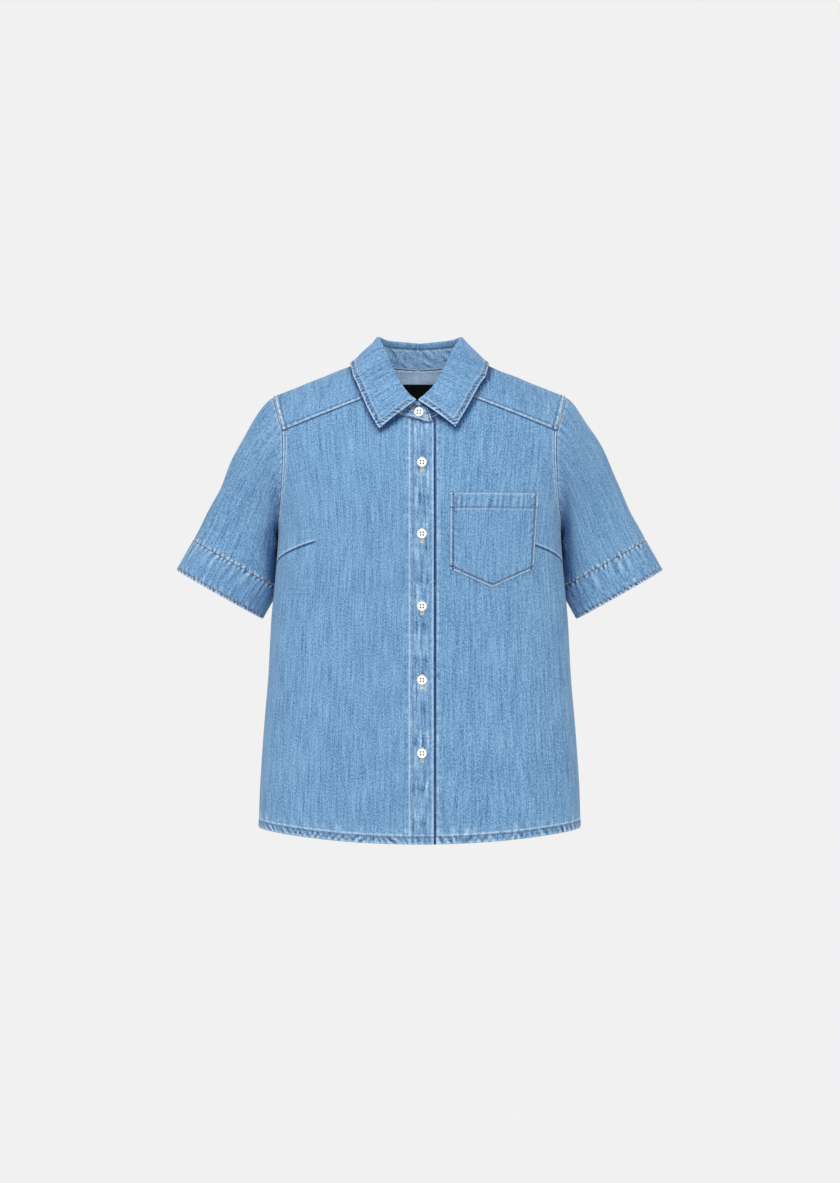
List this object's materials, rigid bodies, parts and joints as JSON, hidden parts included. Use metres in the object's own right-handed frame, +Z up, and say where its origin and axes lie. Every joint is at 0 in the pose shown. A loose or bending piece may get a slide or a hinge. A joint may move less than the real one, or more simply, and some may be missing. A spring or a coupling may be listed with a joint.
{
  "type": "short-sleeved denim shirt, filled out with no wearer",
  "caption": "Button-front denim shirt with a turned-down collar, shoulder yoke, chest pocket and short banded sleeves, held hollow as if worn.",
  "frame": {"origin": "middle of the neck, level with the shoulder line beside it, in the middle plane between front and back, where the wearer's shoulders carry the shirt", "axes": "+X towards the wearer's left sleeve, -Y out of the front, +Z up"},
  "size_m": [0.6404, 0.2144, 0.6559],
  "materials": {
    "denim": "matt light-blue washed cotton twill",
    "label": "plain black woven tape",
    "thread": "ecru sewing thread",
    "button": "smooth white, softly polished"
  },
  "bodies": {
    "root": {"front_right": "denim", "front_left": "denim", "back": "denim", "yoke": "denim", "sleeve_right": "denim", "sleeve_left": "denim", "cuff_right": "denim", "cuff_left": "denim", "placket": "denim", "button_band": "denim", "collar_stand": "denim", "collar_leaf": "denim", "pocket": "denim", "label": "label", "button_1": "button", "button_2": "button", "button_3": "button", "button_4": "button", "button_5": "button", "button_6": "button"}
  },
  "joints": []
}
